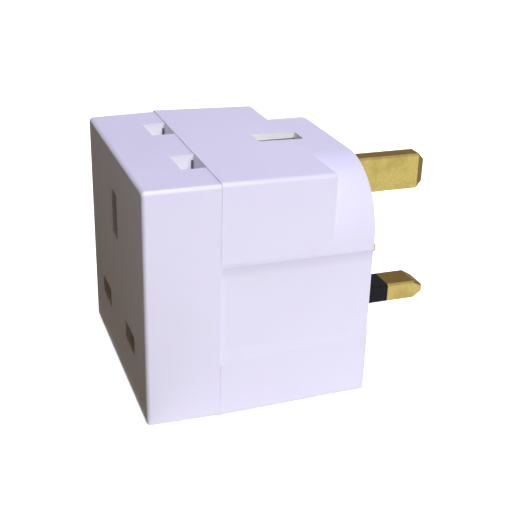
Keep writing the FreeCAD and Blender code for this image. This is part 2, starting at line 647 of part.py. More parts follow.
def make_side_bus(label, side):
    """A flat plate beside the contacts with three tabs bent in: to the pin and to each clip."""
    body = new_body(label)
    inner = f"{side} * {STRIP_X}"
    outer = f"{side} * ({STRIP_X} + strip)"
    tab_end = f"{side} * ({LINE_X} - clip_length_wide / 2)"
    low = "(plug_line_height + front_line_height - side_strip_height) / 2"
    high = "(plug_line_height + front_line_height + side_strip_height) / 2"
    riser_front = "top_line_depth - clip_length_wide / 2"
    riser_back = "top_line_depth + clip_length_wide / 2"
    riser_top = f"{REAR_TOP} - {LINE_WEB} - clip"
    front_tab = f"{LINE_WEB} + clip"
    back = f"{BUS_FACE} + strip"
    plate = new_sketch(body, "YZ", inner if side > 0 else outer)
    draw_polygon(plate, [(riser_front, low), (back, low), (back, high), (riser_back, high),
                         (riser_back, riser_top), (riser_front, riser_top)])
    pad(body, plate, "strip")
    tabs = new_sketch(body, "XY", low)
    for near_face in (front_tab, BUS_FACE):
        draw_box(tabs, tab_end, near_face, f"{side} * ({STRIP_X} + strip / 2)", f"{near_face} + strip")
    pad(body, tabs, "side_strip_height")
    top_tab = new_sketch(body, "XY", riser_top)
    draw_box(top_tab, tab_end, riser_front, outer, riser_back)
    pad(body, top_tab, "strip", False)
    out_x, end_y, top_z = value(outer), value(back), value(riser_top)
    dress(body, "Fillet", "bend", lambda edge: in_plane(edge, 0, out_x)
          and (in_plane(edge, 1, end_y) or in_plane(edge, 2, top_z)))
    tail = new_sketch(body, "XZ", BUS_FACE)
    draw_circle(tail, f"{side} * {LINE_X}", "plug_line_height", "tail_radius")
    pocket(body, tail, "strip")
    front_hole = new_sketch(body, "XZ", front_tab)
    draw_circle(front_hole, f"{side} * {LINE_X}", "front_line_height", "rivet_radius")
    pocket(body, front_hole, "strip")
    top_hole = new_sketch(body, "XY", riser_top)
    draw_circle(top_hole, f"{side} * {LINE_X}", "top_line_depth", "rivet_radius")
    pocket(body, top_hole, "strip", False)
    place(body)
    return body


def clip_outline(face, web):
    """Half a spring clip from its web to its flared mouth: depth and distance from the pin's middle."""
    waist = f"{face} + clip_flare"
    inner = [(web, "clip_root / 2"), (waist, "clip_gap / 2"), (face, "clip_mouth / 2")]
    outer = [(face, "clip_mouth / 2 + clip"), (waist, "clip_gap / 2 + clip"),
             (f"{web} + clip", "clip_root / 2 + clip")]
    return inner + outer


def mirrored(points):
    return [(depth, f"-({offset})") for depth, offset in reversed(points)]


def make_line_clip(label, side, top):
    body = new_body(label)
    half = clip_outline("line_clip_face", LINE_WEB)
    sketch = new_sketch(body, "YZ", f"{side} * {LINE_X} - clip_length_wide / 2")
    draw_polygon(sketch, half + mirrored(half))
    pad(body, sketch, "clip_length_wide")
    hole = new_sketch(body, "XZ", LINE_WEB)
    draw_circle(hole, f"{side} * {LINE_X}", "0", "rivet_radius")
    pocket(body, hole, "clip")
    place_in_socket(body, top)
    return body


def make_earth_clip(label, top):
    body = new_body(label)
    half = clip_outline("earth_clip_face", EARTH_WEB)
    sketch = new_sketch(body, "XY", "earth_rise - clip_length_wide / 2")
    draw_polygon(sketch, [(offset, depth) for depth, offset in half + mirrored(half)])
    pad(body, sketch, "clip_length_wide")
    hole = new_sketch(body, "XZ", EARTH_WEB)
    draw_circle(hole, "0", "earth_rise", "rivet_radius")
    pocket(body, hole, "clip")
    place_in_socket(body, top)
    return body


def make_shutter(label, top):
    """A flap over both line slots, and an arm whose ramp the earth pin pushes aside."""
    body = new_body(label)
    back = "shutter_face + shutter_thick"
    plate = new_sketch(body, "XZ", "shutter_face")
    flap = (FLAP_HALF, "flap_height / 2")
    neck = "arm_width / 2"
    draw_polygon(plate, [(f"-{flap[0]}", f"-{flap[1]}"), (flap[0], f"-{flap[1]}"), flap,
                         (neck, flap[1]), (neck, RAMP_START), (f"-{neck}", RAMP_START),
                         (f"-{neck}", flap[1]), (f"-{flap[0]}", flap[1])])
    pad(body, plate, "shutter_thick")
    ramp = new_sketch(body, "YZ", f"-{neck}")
    draw_polygon(ramp, [("shutter_face", RAMP_START), ("shutter_face + travel", f"{RAMP_START} + travel"),
                        ("shutter_face + travel", f"{RAMP_START} - shutter_thick"),
                        (f"{back} - shutter_thick / 2", f"{RAMP_START} - shutter_thick")])
    pad(body, ramp, "arm_width")
    window = new_sketch(body, "XZ", "shutter_face")
    draw_box(window, "-window_width / 2", "window_start", "window_width / 2", WINDOW_END)
    pocket(body, window, "shutter_thick")
    place_in_socket(body, top)
    return body


def make_guide(label, top):
    """The plate that the shutter slides on, with side rails, pin windows and the spring's seat."""
    body = new_body(label)
    low = "-(flap_height / 2 + travel + slide_gap)"
    neck = "guide_neck / 2"
    plate = new_sketch(body, "XZ", GUIDE_FACE)
    draw_polygon(plate, [(f"-{GUIDE_HALF}", low), (GUIDE_HALF, low), (GUIDE_HALF, GUIDE_STEP),
                         (neck, GUIDE_STEP), (neck, GUIDE_END), (f"-{neck}", GUIDE_END),
                         (f"-{neck}", GUIDE_STEP), (f"-{GUIDE_HALF}", GUIDE_STEP)])
    pad(body, plate, "guide_thick")
    rails = new_sketch(body, "XZ", GUIDE_FACE)
    draw_box(rails, f"-{GUIDE_HALF}", low, f"-{RAIL_X}", GUIDE_STEP)
    draw_box(rails, RAIL_X, low, GUIDE_HALF, GUIDE_STEP)
    pad(body, rails, "shutter_thick", False)
    lug = new_sketch(body, "XZ", GUIDE_FACE)
    draw_box(lug, "-lug_width / 2", f"{SPRING_SEAT} - lug_height", "lug_width / 2", SPRING_SEAT)
    pad(body, lug, "shutter_thick + slide_gap", False)
    cuts = new_sketch(body, "XZ", GUIDE_FACE)
    draw_centred(cuts, "0", f"({SPRING_SEAT} + {GUIDE_END} + 1) / 2", "arm_width + 2 * slide_gap",
                 f"{GUIDE_END} + 1 - {SPRING_SEAT}")
    for x in both_sides(LINE_X):
        draw_centred(cuts, x, "0", "slot_wide", "slot_thin")
    draw_pegs(cuts, "0", "peg_radius")
    pocket(body, cuts, "guide_thick")
    place_in_socket(body, top)
    return body


def make_spring(label, top):
    """The compression spring between the guide's lug and the far end of the arm's window."""
    body = new_body(label)
    wire = new_sketch(body, "XZ")
    draw_circle(wire, "spring_radius", "spring_wire / 2", "spring_wire / 2")
    coil = body.newObject("PartDesign::AdditiveHelix", f"{label}_coil")
    coil.Profile = wire
    coil.ReferenceAxis = (wire, ["V_Axis"])
    coil.Mode = "height-turns-angle"
    bind(coil, "Height", f"{WINDOW_END} - {SPRING_SEAT} - spring_wire")
    bind(coil, "Turns", "spring_turns")
    body.Tip = coil
    place_in_socket(body, top, "shutter_face + shutter_thick / 2", SPRING_SEAT)
    return body


def turned_shape(steps):
    """Coaxial cylinders along +Y as one solid; each step is a start, a length and a radius."""
    shape = None
    for start, length, radius in steps:
        base = FreeCAD.Vector(0, value(start), 0)
        piece = Part.makeCylinder(value(radius), value(length), base, FreeCAD.Vector(0, 1, 0))
        shape = shape.fuse(piece) if shape else piece
    return shape.removeSplitter()


def make_group(label, shapes):
    """Identical small fasteners as one sub-part."""
    item = doc.addObject("Part::Feature", label)
    item.Shape = Part.makeCompound(shapes)
    item.Label = label
    return item


def make_case_screws():
    shank = f"{HEAD_SEAT} - {POST_END} + screw_reach"
    screw = turned_shape([(HEAD_SEAT, "screw_head_thick", "screw_head"),
                          (f"{POST_END} - screw_reach", shank, "screw_core")])
    copies = []
    for x in both_sides(SCREW_X):
        copy = screw.copy()
        copy.translate(FreeCAD.Vector(value(x), 0, value("screw_height")))
        copies.append(copy)
    item = make_group("case_screws", copies)
    place(item)
    return item


def make_contact_rivets():
    """One rivet through the web of each clip and the bus strip behind it."""
    holes = ((f"-{LINE_X}", "0", LINE_WEB), (LINE_X, "0", LINE_WEB), ("0", "earth_rise", EARTH_WEB))
    copies = []
    for top in (False, True):
        turn = FreeCAD.Rotation(FreeCAD.Vector(1, 0, 0), -90 if top else 0)
        base = FreeCAD.Vector(0, value("top_line_depth"), value(REAR_TOP))
        if not top:
            base = FreeCAD.Vector(0, 0, value("front_line_height"))
        for x, rise, web in holes:
            rivet = turned_shape([(f"{web} - rivet_thick", "rivet_thick", "rivet_head"),
                                  (web, "clip + strip", "rivet_radius"),
                                  (f"{web} + clip + strip", "rivet_thick", "rivet_head")])
            rivet.translate(FreeCAD.Vector(value(x), 0, value(rise)))
            rivet.Placement = FreeCAD.Placement(base, turn).multiply(rivet.Placement)
            copies.append(rivet)
    item = make_group("contact_rivets", copies)
    place(item)
    return item


def make_all():
    parts = [make_front_cover(), make_rear_housing(), make_earth_pin(), make_earth_bus()]
    for name, side in (("live", 1), ("neutral", -1)):
        x = f"{side} * {LINE_X}"
        parts.append(make_line_pin(f"{name}_pin", x))
        parts.append(make_sleeve(f"{name}_sleeve", x))
        parts.append(make_side_bus(f"{name}_bus", side))
        parts.append(make_line_clip(f"front_{name}_clip", side, False))
        parts.append(make_line_clip(f"top_{name}_clip", side, True))
    for name, top in (("front", False), ("top", True)):
        parts.append(make_earth_clip(f"{name}_earth_clip", top))
        parts.append(make_shutter(f"{name}_shutter", top))
        parts.append(make_guide(f"{name}_guide", top))
        parts.append(make_spring(f"{name}_spring", top))
    parts.append(make_contact_rivets())
    parts.append(make_case_screws())
    return parts


def check(parts):
    """Stop if any object failed, or any sub-part has no valid shape."""
    for item in doc.Objects:
        if "Invalid" in item.State or "Error" in item.State:
            raise RuntimeError(f"{item.Label} did not build: {item.State}")
    for part in parts:
        if part.Shape.isNull() or not part.Shape.isValid():
            raise RuntimeError(f"{part.Label} has no valid shape")


parts = make_all()
doc.recompute()
check(parts)
for part in parts:
    part.Shape.exportStep(f"parts/{part.Label}.step")
    print(part.Label, len(part.Shape.Solids), round(part.Shape.Volume, 2))
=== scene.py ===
"""Finishes, springs, light and camera for a two-way mains socket adaptor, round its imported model.

Metres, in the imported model's frame: X across, Y towards the pins, Z up from the plane that it stands on.
"""
import json
import math

import bpy
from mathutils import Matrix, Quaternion, Vector


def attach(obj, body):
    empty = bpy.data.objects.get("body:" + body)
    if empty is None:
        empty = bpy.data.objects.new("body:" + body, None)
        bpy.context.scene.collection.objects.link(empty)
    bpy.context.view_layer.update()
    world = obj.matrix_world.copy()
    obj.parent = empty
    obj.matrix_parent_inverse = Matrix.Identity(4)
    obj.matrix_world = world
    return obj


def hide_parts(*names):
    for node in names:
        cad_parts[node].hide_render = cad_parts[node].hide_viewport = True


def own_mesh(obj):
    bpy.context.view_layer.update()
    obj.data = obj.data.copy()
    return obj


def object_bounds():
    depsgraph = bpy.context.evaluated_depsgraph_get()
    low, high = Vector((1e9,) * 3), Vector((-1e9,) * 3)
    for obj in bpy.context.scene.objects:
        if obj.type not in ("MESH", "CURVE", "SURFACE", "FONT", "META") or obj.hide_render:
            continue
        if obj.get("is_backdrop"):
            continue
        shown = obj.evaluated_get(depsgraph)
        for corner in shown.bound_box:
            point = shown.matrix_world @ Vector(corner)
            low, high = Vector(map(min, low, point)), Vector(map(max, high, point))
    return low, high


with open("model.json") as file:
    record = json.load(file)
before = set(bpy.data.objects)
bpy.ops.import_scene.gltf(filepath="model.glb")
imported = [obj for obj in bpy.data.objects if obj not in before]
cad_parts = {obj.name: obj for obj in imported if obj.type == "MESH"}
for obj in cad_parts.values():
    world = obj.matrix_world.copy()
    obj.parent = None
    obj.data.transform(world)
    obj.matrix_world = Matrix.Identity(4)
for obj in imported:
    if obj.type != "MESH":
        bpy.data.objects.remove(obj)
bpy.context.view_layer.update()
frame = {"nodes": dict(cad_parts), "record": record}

# The camera, where the photograph was taken from: metres, degrees and pixels
CAMERA_PLACE = (0.17321, -0.06741, 0.10417)
CAMERA_AZIMUTH = 69.861
CAMERA_ELEVATION = 24.028
CAMERA_ROLL = 1.533
IMAGE_PIXELS = 510
FOCAL_PIXELS = 940.9
SENSOR_WIDTH = 36.0
CLIP_START = 0.01

# Colours, linear
CASE_COLOUR = (0.735, 0.728, 0.905)
CASE_SHADE = (0.705, 0.695, 0.882)
CASE_WORN_HIGHLIGHT = (0.84, 0.835, 0.95)
CASE_LEDGE_SHADE = (0.60, 0.59, 0.77)
CASE_PAINTED_LIGHT = (0.96, 0.96, 0.99)
CASE_BLUE_PAINTED_LIGHT = (0.86, 0.86, 1.0)
CASE_SLOPE_SHADE = (0.66, 0.645, 0.70)
CASE_CORNER_SHADE = (0.06, 0.055, 0.065)
CASE_SLOT_SHADE = (0.32, 0.31, 0.26)
SHUTTER_COLOUR = (0.62, 0.60, 0.64)
SHUTTER_SHADE = (0.56, 0.54, 0.58)
GUIDE_COLOUR = (0.62, 0.61, 0.70)
GUIDE_SHADE = (0.55, 0.54, 0.64)
BRASS_COLOUR = (0.382, 0.300, 0.081)
BRASS_BRIGHT = (0.490, 0.415, 0.152)
BRASS_TARNISH_AND_SHADE = (0.255, 0.168, 0.050)
BRASS_OXIDE = (0.15, 0.085, 0.025)
SLEEVE_COLOUR = (0.006, 0.006, 0.009)
SLEEVE_SHADE = (0.009, 0.009, 0.013)
STEEL_COLOUR = (0.62, 0.62, 0.64)
STEEL_SHADE = (0.45, 0.45, 0.48)
WHITE = (1.0, 1.0, 1.0)

# Gloss: roughness or its range, level of the specular light and index of refraction
CASE_ROUGH = 0.36
SHUTTER_ROUGH = 0.45
GUIDE_ROUGH = 0.5
SLEEVE_ROUGH = 0.5
PLASTIC_SMOOTHER = 0.05
PLASTIC_ROUGHER = 0.06
PLASTIC_SHINE = 0.42
SLEEVE_SHINE = 0.12
PLASTIC_IOR = 1.46
BRASS_ROUGH = (0.36, 0.46)
STEEL_ROUGH = (0.28, 0.42)
OXIDE_ROUGHER = 0.3
OXIDE_METALLIC = 0.5

# Noises: waves to the metre and detail, and how some of them are drawn out along Y
PLASTIC_CLOUDS = (45.0, 4.0)
PLASTIC_FLOW = (18.0, 1.0)
PLASTIC_SKIN = (1600.0, 3.0)
PLASTIC_WAVES = (120.0, 2.0)
BRASS_MOTTLE = (1900.0, 3.0)
BRASS_BLOTS = (260.0, 3.0)
BRASS_LINES = (2600.0, 2.0)
STEEL_GRAIN = (3000.0, 2.0)
STEEL_SPANGLE = (500.0, 3.0)
FLOOR_CLOUDS = (30.0, 2.0)
FLOW_STRETCH = (1.0, 0.35, 1.0)
LINES_STRETCH = (1.0, 0.04, 1.0)
GRAIN_STRETCH = (1.0, 0.1, 1.0)

# The part of a noise's range that is spread over the whole effect
NARROW = (0.35, 0.65)
MIDDLE = (0.3, 0.7)
WIDE = (0.25, 0.75)
UPPER_HALF = (0.48, 0.75)

# Bumps: heights, and the strength of the softer ones
SKIN_HEIGHT = 0.000004
WAVES_HEIGHT = 0.000024
LINES_HEIGHT = 0.000012
MOTTLE_HEIGHT = 0.00001
GRAIN_HEIGHT = 0.00001
SOFTER = 0.5

# Edges: the radius that is looked over, and the likeness of normals of a full edge and of none
PLASTIC_EDGES = (0.00015, 0.80, 0.99)
BRASS_EDGES = (0.0005, 0.75, 0.98)
EDGE_SAMPLES = 6

# How much of the second colour is mixed in at most, or from least to most
FLOW_SHARE = 0.5
WEAR_HIGHLIGHT_SHARE = 0.45
BRIGHT_SHARES = (0.1, 0.7)
BLOTS_SHARE = 0.5
BROWN_EDGE_SHARE = 0.55
DARK_REFLECTION_SHARE = 0.6
TIP_SHARE = 0.85

# Where brass is dark: the part of its normal along Z for its top, where the dark is a painted reflection,
# and along Y for its tips
DARK_REFLECTION_TOP = (0.2, 0.9)
BROWN_TIP = (0.22, 0.30)

# The case's marks of painted light and shade. Walls of slots, each inside two corners, with the share of
# the mark's colour
SLOT_WALLS_LIT = ((((-0.0156, -0.0246, 0.0430), (0.0156, -0.0190, 0.0485)), 0.8),
                (((-0.0027, -0.0052, 0.0430), (0.0027, 0.0056, 0.0485)), 1.0))
SLOT_WALLS_SHADED = ((((-0.0165, -0.0341, 0.0080), (0.0165, -0.0290, 0.0170)), 0.6),
               (((-0.0030, -0.0341, 0.0280), (0.0030, -0.0290, 0.0410)), 0.65))
CORNERS_SHADED = (((0.0069, -0.0201, 0.0430), (0.0077, -0.0190, 0.0469)),
                ((-0.0153, -0.0201, 0.0430), (-0.0145, -0.0190, 0.0469)),
                ((-0.0026, -0.0052, 0.0430), (-0.0022, 0.0056, 0.04665)),
                ((0.0069, -0.0332, 0.0122), (0.0073, -0.0290, 0.0148)),
                ((-0.0153, -0.0332, 0.0122), (-0.0149, -0.0290, 0.0148)))

# Where the other marks are, along Y or Z
CASE_FRONT = -0.0339
SEAM_Y = -0.019525
SEAM_REACH = 0.00003
BLOCK_BACK = 0.0028
CASE_TOP = 0.0480
RIM_LOW = 0.0460
GRIP_TOP = 0.0314
GRIP_OVER = 0.00005
GRIP_LEAD = 0.0002
GRIP_FADE = 0.0024
GRIP_LOW = 0.0150

# How much of a mark's colour is mixed in at most
FOOT_LIGHT_SHARE = 0.22
CORNER_SHADE_SHARE = 0.85
RIM_HIGHLIGHT_SHARE = 0.5
LEDGE_SHADE_SHARE = 0.75
SLOPE_SHADE_SHARE = 0.25
LEAD_LIGHT_SHARE = 0.8

# Limits on the parts of a surface's normal
FACES_UP = 0.7
FACES_FRONT = -0.7
FACES_SIDE = 0.9
FACES_RIM = 0.35
FACES_SLOPE = 0.2

# Light: the way to each lamp from the object's middle, its distance, side and power
KEY_WAY = (1.0, 0.08, 0.48)
KEY_FAR = 0.90
KEY_SIZE = 0.24
KEY_POWER = 4.60
KEY_COLOUR = (0.96, 0.955, 0.985)
TOP_WAY = (0.15, 0.055, 1.0)
TOP_FAR = 0.80
TOP_SIZE = 0.32
TOP_POWER = 3.96
TOP_COLOUR = (0.675, 0.685, 1.0)
BACK_WAY = (-0.80, 0.55, 0.20)
BACK_FAR = 0.80
BACK_SIZE = 0.50
BACK_POWER = 4.2
AMBIENT = (0.150, 0.122, 0.032)

# The floor, whose own glow rises to white between two distances from its middle
FLOOR_SIZE = 8.0
FLOOR_GLOW = 0.78
FLOOR_COLOUR = (0.86, 0.84, 0.79)
FLOOR_SHADE = (0.83, 0.81, 0.76)
FLOOR_NEAR = 0.20
FLOOR_FAR = 0.60

# Dim cards: each is three corners, and the fourth follows
FRONT_CARD_COLOUR = (0.134, 0.107, 0.102)
FRONT_CARD = ((0.06, -0.0343, 0.0005), (-0.50, -0.0343, 0.0005), (0.06, -0.90, 0.0005))
SIDE_CARD_COLOUR = (0.36, 0.27, 0.17)
SIDE_CARD = ((-0.50, -0.10, 0.05), (-0.50, 0.70, 0.05), (-0.50, -0.10, 0.60))


def add_node(tree, kind, inputs=None, **settings):
    """A shader node; each input is a plain value, or the socket that feeds it."""
    item = tree.nodes.new(kind)
    for name, setting in settings.items():
        setattr(item, name, setting)
    for name, source in (inputs or {}).items():
        if isinstance(source, bpy.types.NodeSocket):
            tree.links.new(source, item.inputs[name])
        else:
            item.inputs[name].default_value = source
    return item


def opaque(colour):
    return (*colour, 1.0)


def noise(tree, place, scale, detail=2.0, stretch=(1.0, 1.0, 1.0)):
    """Cloudy noise from 0 to 1; scale is in waves to the metre."""
    spread = add_node(tree, "ShaderNodeMapping", {"Vector": place, "Scale": stretch})
    clouds = add_node(tree, "ShaderNodeTexNoise",
                      {"Vector": spread.outputs["Vector"], "Scale": scale, "Detail": detail})
    return clouds.outputs["Fac"]


def remap(tree, source, low, high, new_low, new_high):
    item = add_node(tree, "ShaderNodeMapRange", {"Value": source, "From Min": low, "From Max": high,
                                                 "To Min": new_low, "To Max": new_high})
    return item.outputs["Result"]


def mix(tree, share, first, second):
    """One colour or colour socket into another, through the Mix node's sockets for colours."""
    item = add_node(tree, "ShaderNodeMix", data_type="RGBA")
    for socket, source in ((item.inputs[0], share), (item.inputs[6], first), (item.inputs[7], second)):
        if isinstance(source, bpy.types.NodeSocket):
            tree.links.new(source, socket)
        else:
            socket.default_value = source if isinstance(source, float) else opaque(source)
    return item.outputs[2]


def split(tree, vector):
    return add_node(tree, "ShaderNodeSeparateXYZ", {"Vector": vector}).outputs


def reckon(tree, operation, first, second=0.0):
    item = add_node(tree, "ShaderNodeMath", {0: first, 1: second}, operation=operation)
    return item.outputs["Value"]


def over(tree, source, limit):
    return reckon(tree, "GREATER_THAN", source, limit)


def under(tree, source, limit):
    return reckon(tree, "LESS_THAN", source, limit)


def product(tree, first, *others):
    for other in others:
        first = reckon(tree, "MULTIPLY", first, other)
    return first


def inside(tree, where, corners):
    """1 within a box given by its two corners."""
    limits = [test for name, low, high in zip("XYZ", *corners)
              for test in (over(tree, where[name], low), under(tree, where[name], high))]
    return product(tree, *limits)


def edges(tree, radius, low, high):
    """A mask that is 1 on sharp convex and concave edges, and the normal rounded over them."""
    rounded = add_node(tree, "ShaderNodeBevel", {"Radius": radius}, samples=EDGE_SAMPLES)
    flat = add_node(tree, "ShaderNodeNewGeometry").outputs["Normal"]
    likeness = add_node(tree, "ShaderNodeVectorMath", {0: rounded.outputs["Normal"], 1: flat},
                        operation="DOT_PRODUCT")
    return remap(tree, likeness.outputs["Value"], high, low, 0.0, 1.0), rounded.outputs["Normal"]


def facing_parts(tree):
    return split(tree, add_node(tree, "ShaderNodeNewGeometry").outputs["Normal"])


def bump(tree, height, distance, normal=None, strength=1.0):
    inputs = {"Height": height, "Distance": distance, "Strength": strength}
    if normal:
        inputs["Normal"] = normal
    return add_node(tree, "ShaderNodeBump", inputs).outputs["Normal"]


def new_material(name):
    material = bpy.data.materials.new(name)
    material.use_nodes = True
    tree = material.node_tree
    shader = tree.nodes["Principled BSDF"]
    place = add_node(tree, "ShaderNodeTexCoord").outputs["Object"]
    return material, tree, shader, place


def mark_slots(tree, where, facing, body):
    """Painted light on the walls of the top slots, and painted shade on the walls of the front slots and
    in the slots' corners.
    """
    wall = under(tree, facing["Z"], FACES_UP)
    # Painted light on the walls of the top slots.
    for corners, share in SLOT_WALLS_LIT:
        body = mix(tree, product(tree, inside(tree, where, corners), wall, share), body, CASE_PAINTED_LIGHT)
    # Painted shade on the walls of the front slots.
    inward = over(tree, facing["Y"], FACES_FRONT)
    for corners, share in SLOT_WALLS_SHADED:
        body = mix(tree, product(tree, inside(tree, where, corners), inward, share), body, CASE_SLOT_SHADE)
    # Painted shade in the slots' corners.
    for corners in CORNERS_SHADED:
        body = mix(tree, product(tree, inside(tree, where, corners), CORNER_SHADE_SHARE), body, CASE_CORNER_SHADE)
    return body


def mark_grip(tree, where, facing, sideways, body):
    """Painted shade under the grip's upper edge and on its lower slope, and painted light on its upper
    lead.
    """
    # Painted shade, fading down from the grip's upper edge.
    wall = product(tree, over(tree, sideways, FACES_SIDE), over(tree, where["Y"], SEAM_Y))
    below = under(tree, where["Z"], GRIP_TOP + GRIP_OVER)
    ledge_shade = remap(tree, where["Z"], GRIP_TOP - GRIP_FADE, GRIP_TOP, 0.0, LEDGE_SHADE_SHARE)
    body = mix(tree, product(tree, wall, below, ledge_shade), body, CASE_LEDGE_SHADE)
    # Painted shade on the grip's lower slope, which faces up.
    rising = over(tree, facing["Z"], FACES_SLOPE)
    slope_shade = product(tree, rising, under(tree, where["Z"], GRIP_LOW), SLOPE_SHADE_SHARE)
    body = mix(tree, slope_shade, body, CASE_SLOPE_SHADE)
    # Painted light on the grip's upper lead, which faces down.
    sinking = under(tree, facing["Z"], -FACES_SLOPE)
    lead_light = product(tree, sinking, over(tree, where["Z"], GRIP_TOP - GRIP_LEAD), LEAD_LIGHT_SHARE)
    return mix(tree, lead_light, body, CASE_BLUE_PAINTED_LIGHT)


def mark_case(tree, place, body):
    """The case's marks of painted light and shade: paler towards the foot, a pale seam, a painted
    highlight on the side edges of the top, lit and shaded slots, and painted shade and light on the grip.
    """
    where = split(tree, place)
    facing = facing_parts(tree)
    sideways = reckon(tree, "ABSOLUTE", facing["X"])
    # Painted light: the case grows paler towards the floor.
    body = mix(tree, remap(tree, where["Z"], 0.0, CASE_TOP, FOOT_LIGHT_SHARE, 0.0), body, CASE_PAINTED_LIGHT)
    body = mark_slots(tree, where, facing, body)
    # Painted light on the narrow step at the seam, which would otherwise show dark.
    off_seam = reckon(tree, "ABSOLUTE", reckon(tree, "SUBTRACT", where["Y"], SEAM_Y))
    body = mix(tree, under(tree, off_seam, SEAM_REACH), body, CASE_BLUE_PAINTED_LIGHT)
    # Painted highlight along the side edges of the top, strongest at the front.
    rim_highlight = product(tree, over(tree, sideways, FACES_RIM), over(tree, facing["Z"], FACES_RIM),
                  under(tree, where["Y"], BLOCK_BACK), over(tree, where["Z"], RIM_LOW),
                  remap(tree, where["Y"], CASE_FRONT, BLOCK_BACK, RIM_HIGHLIGHT_SHARE, 0.0))
    body = mix(tree, rim_highlight, body, CASE_PAINTED_LIGHT)
    return mark_grip(tree, where, facing, sideways, body)


def make_plastic(name, colour, shade, worn, gloss, shine=PLASTIC_SHINE, marks=None):
    """Moulded plastic: faint clouds of colour, a fine skin texture and paler edges, worn and partly a
    painted edge highlight.
    """
    material, tree, shader, place = new_material(name)
    clouds = noise(tree, place, *PLASTIC_CLOUDS)
    flow = noise(tree, place, *PLASTIC_FLOW, FLOW_STRETCH)
    body = mix(tree, remap(tree, clouds, *MIDDLE, 0.0, 1.0), colour, shade)
    body = mix(tree, remap(tree, flow, *NARROW, 0.0, FLOW_SHARE), body, colour)
    if marks:
        body = marks(tree, place, body)
    edge, _ = edges(tree, *PLASTIC_EDGES)
    # Paler sharp edges: wear, and partly a painted edge highlight.
    body = mix(tree, product(tree, edge, WEAR_HIGHLIGHT_SHARE), body, worn)
    tree.links.new(body, shader.inputs["Base Color"])
    skin = noise(tree, place, *PLASTIC_SKIN)
    waves = noise(tree, place, *PLASTIC_WAVES)
    rough = remap(tree, waves, *WIDE, gloss - PLASTIC_SMOOTHER, gloss + PLASTIC_ROUGHER)
    tree.links.new(rough, shader.inputs["Roughness"])
    lumps = bump(tree, waves, WAVES_HEIGHT, strength=SOFTER)
    tree.links.new(bump(tree, skin, SKIN_HEIGHT, lumps), shader.inputs["Normal"])
    shader.inputs["IOR"].default_value = PLASTIC_IOR
    shader.inputs["Specular IOR Level"].default_value = shine
    return material


def make_brass(name):
    """Drawn brass: fine lines along the pin, cloudy tarnish, darker on top as a painted dark reflection,
    and brown at the tips.
    """
    material, tree, shader, place = new_material(name)
    mottle = noise(tree, place, *BRASS_MOTTLE)
    blots = noise(tree, place, *BRASS_BLOTS)
    lines = noise(tree, place, *BRASS_LINES, LINES_STRETCH)
    metal = mix(tree, remap(tree, mottle, *MIDDLE, *BRIGHT_SHARES), BRASS_COLOUR, BRASS_BRIGHT)
    metal = mix(tree, remap(tree, blots, *UPPER_HALF, 0.0, BLOTS_SHARE), metal, BRASS_TARNISH_AND_SHADE)
    edge, normal = edges(tree, *BRASS_EDGES)
    metal = mix(tree, product(tree, edge, BROWN_EDGE_SHARE), metal, BRASS_TARNISH_AND_SHADE)
    facing = facing_parts(tree)
    # Painted dark reflection on faces that look up.
    top = remap(tree, facing["Z"], *DARK_REFLECTION_TOP, 0.0, DARK_REFLECTION_SHARE)
    metal = mix(tree, top, metal, BRASS_TARNISH_AND_SHADE)
    tip = remap(tree, facing["Y"], *BROWN_TIP, 0.0, 1.0)
    metal = mix(tree, product(tree, tip, TIP_SHARE), metal, BRASS_OXIDE)
    tree.links.new(metal, shader.inputs["Base Color"])
    tree.links.new(remap(tree, tip, 0.0, 1.0, 1.0, OXIDE_METALLIC), shader.inputs["Metallic"])
    worn = remap(tree, mottle, *MIDDLE, *BRASS_ROUGH)
    rough = reckon(tree, "ADD", worn, product(tree, tip, OXIDE_ROUGHER))
    tree.links.new(rough, shader.inputs["Roughness"])
    scored = bump(tree, lines, LINES_HEIGHT, normal)
    pitted = bump(tree, mottle, MOTTLE_HEIGHT, scored, SOFTER)
    tree.links.new(pitted, shader.inputs["Normal"])
    return material


def make_steel(name):
    """Zinc-plated steel with a faint satin grain."""
    material, tree, shader, place = new_material(name)
    grain = noise(tree, place, *STEEL_GRAIN, GRAIN_STRETCH)
    spangle = noise(tree, place, *STEEL_SPANGLE)
    metal = mix(tree, remap(tree, spangle, *NARROW, 0.0, 1.0), STEEL_COLOUR, STEEL_SHADE)
    tree.links.new(metal, shader.inputs["Base Color"])
    shader.inputs["Metallic"].default_value = 1.0
    tree.links.new(remap(tree, spangle, *MIDDLE, *STEEL_ROUGH), shader.inputs["Roughness"])
    tree.links.new(bump(tree, grain, GRAIN_HEIGHT), shader.inputs["Normal"])
    return material


def finish_nodes():
    """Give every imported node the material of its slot."""
    made = {
        "case": make_plastic("case_plastic", CASE_COLOUR, CASE_SHADE, CASE_WORN_HIGHLIGHT, CASE_ROUGH,
                             marks=mark_case),
        "shutter": make_plastic("shutter_plastic", SHUTTER_COLOUR, SHUTTER_SHADE, SHUTTER_COLOUR,
                                SHUTTER_ROUGH),
        "guide": make_plastic("guide_plastic", GUIDE_COLOUR, GUIDE_SHADE, GUIDE_COLOUR, GUIDE_ROUGH),
        "sleeve": make_plastic("sleeve_plastic", SLEEVE_COLOUR, SLEEVE_SHADE, SLEEVE_SHADE,
                               SLEEVE_ROUGH, SLEEVE_SHINE),
        "brass": make_brass("pin_brass"),
        "steel": make_steel("plated_steel"),
    }
    for part in frame["record"]["subparts"]:
        item = frame["nodes"][part["node"]]
        item.data.materials.clear()
        item.data.materials.append(made[part["material_slot"]])
    return made


